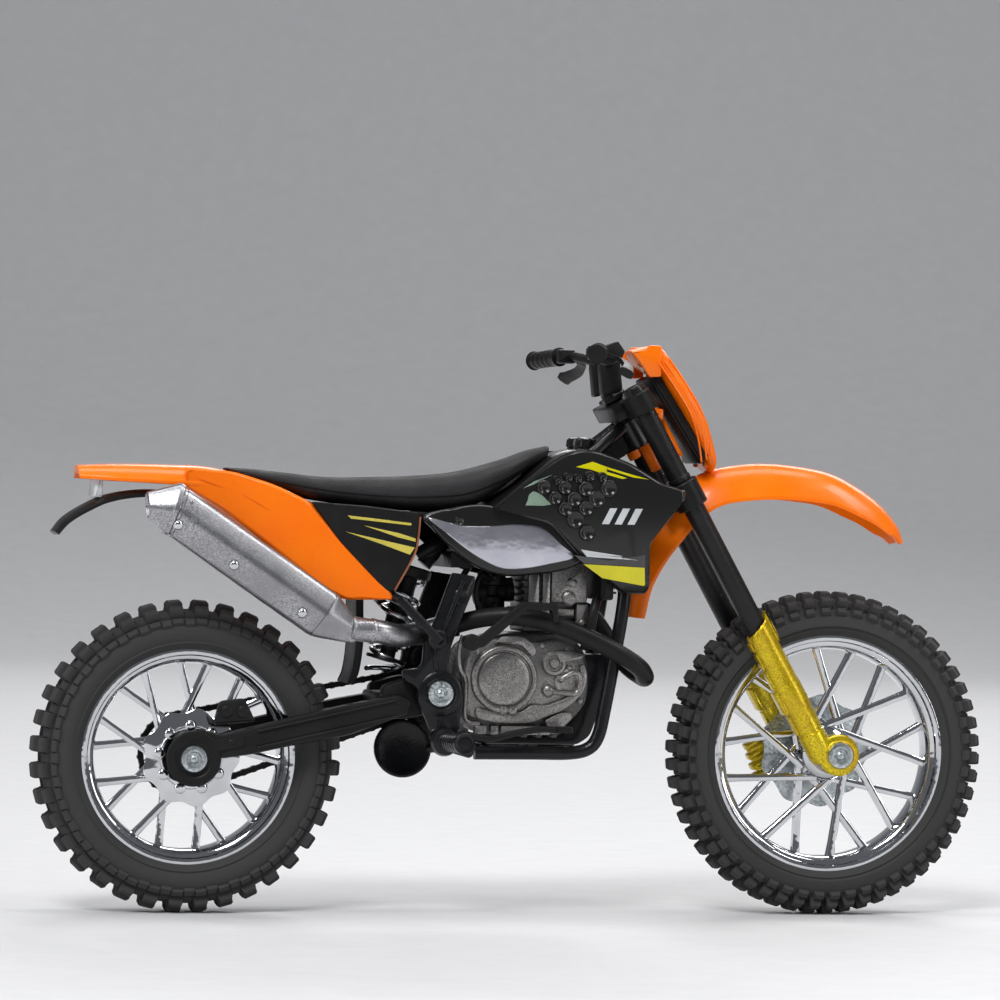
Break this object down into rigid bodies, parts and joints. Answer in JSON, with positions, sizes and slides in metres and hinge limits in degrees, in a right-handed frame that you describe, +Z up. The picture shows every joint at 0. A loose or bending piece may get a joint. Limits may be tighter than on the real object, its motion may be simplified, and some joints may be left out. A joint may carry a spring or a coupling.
{
  "type": "toy motorcycle",
  "caption": "Small-scale off-road toy motorcycle with spoked wheels, knobbly tyres, sprung fork and swingarm, turning handlebar and a folding side stand.",
  "frame": {"origin": "on the ground, under the middle of the motorcycle's overall length and width", "axes": "+X forward, +Y towards the rider's left, +Z up"},
  "size_m": [0.1218, 0.0358, 0.0718],
  "materials": {
    "tyre_rubber": "matt black rubber with moulded knobs",
    "chrome": "bright plated",
    "zinc": "plain plated rivets and spring wire",
    "frame_black": "satin black paint on die-cast metal",
    "satin_black": "satin black moulded plastic with a fine grain",
    "engine_grey": "dark silver metallic paint",
    "silver": "bright silver metallic paint on plastic",
    "gloss_black": "polished black",
    "seat_black": "grained matt black",
    "orange": "bright orange, glossy",
    "gold": "metallic gold paint",
    "lamp_white": "milky clear"
  },
  "bodies": {
    "chassis": {"main_frame": "frame_black", "pivot_plate_right": "frame_black", "pivot_plate_left": "frame_black", "cradle_right": "frame_black", "cradle_left": "frame_black", "pivot_rivet": "zinc", "crankcase": "engine_grey", "cylinder": "engine_grey", "clutch_cover": "engine_grey", "kick_start_lever": "satin_black", "carburettor": "satin_black", "exhaust_header": "satin_black", "exhaust_mid_pipe": "silver", "muffler": "silver", "muffler_end_cap": "silver", "fuel_tank": "gloss_black", "shroud_right": "gloss_black", "shroud_left": "gloss_black", "fuel_cap": "gloss_black", "radiator": "satin_black", "seat": "seat_black", "rear_fender": "orange", "number_panel_right": "satin_black", "number_panel_left": "satin_black", "side_cover_right": "silver", "side_cover_left": "silver", "tail_light": "lamp_white", "plate_holder": "satin_black", "subframe": "frame_black", "inner_fender": "satin_black", "footpeg_right": "frame_black", "footpeg_left": "frame_black", "shock_body": "satin_black", "shock_spring": "zinc"},
    "swingarm": {"swingarm_right": "satin_black", "swingarm_left": "satin_black", "swingarm_yoke": "satin_black", "rear_axle": "zinc", "chain": "satin_black", "rear_caliper": "satin_black"},
    "rear_wheel": {"rear_tyre": "tyre_rubber", "rear_rim": "chrome", "rear_brake_disc": "chrome", "rear_sprocket": "chrome"},
    "steering": {"triple_clamp_lower": "satin_black", "triple_clamp_upper": "satin_black", "steering_stem": "orange", "fork_tube_right": "satin_black", "fork_tube_left": "satin_black", "handlebar": "satin_black", "headlight_cowl": "orange", "headlight_backing": "satin_black", "front_fender": "orange"},
    "fork_sliders": {"fork_slider_right": "gold", "fork_slider_left": "gold", "front_axle": "zinc"},
    "front_wheel": {"front_tyre": "tyre_rubber", "front_rim": "chrome", "front_brake_disc": "chrome"},
    "side_stand": {"side_stand": "frame_black"}
  },
  "joints": [
    {"name": "swingarm_pivot", "type": "hinge", "parent": "chassis", "child": "swingarm", "pos_m": [-0.01112, 0, 0.0276], "axis": [0, 1, 0], "range_deg": [0, 8], "stiffness_Nm_per_rad": 0.16, "springref_deg": -8.59, "deforming": ["shock_spring"]},
    {"name": "rear_wheel_spin", "type": "hinge", "parent": "swingarm", "child": "rear_wheel", "pos_m": [-0.04163, 0, 0.01925], "axis": [0, 1, 0], "continuous": true},
    {"name": "steering_turn", "type": "hinge", "parent": "chassis", "child": "steering", "pos_m": [0.02037, 0, 0.04946], "axis": [-0.4924, 0, 0.8704], "range_deg": [-25, 25]},
    {"name": "fork_travel", "type": "slide", "parent": "steering", "child": "fork_sliders", "axis": [-0.4924, 0, 0.8704], "range_m": [0, 0.003], "stiffness_N_per_m": 400, "springref_m": -0.0015},
    {"name": "front_wheel_spin", "type": "hinge", "parent": "fork_sliders", "child": "front_wheel", "pos_m": [0.04038, 0, 0.0205], "axis": [0, 1, 0], "continuous": true},
    {"name": "side_stand_fold", "type": "hinge", "parent": "chassis", "child": "side_stand", "pos_m": [0.00248, 0.0039, 0.0207], "axis": [0, -0.9063, -0.4226], "range_deg": [0, 80]}
  ]
}
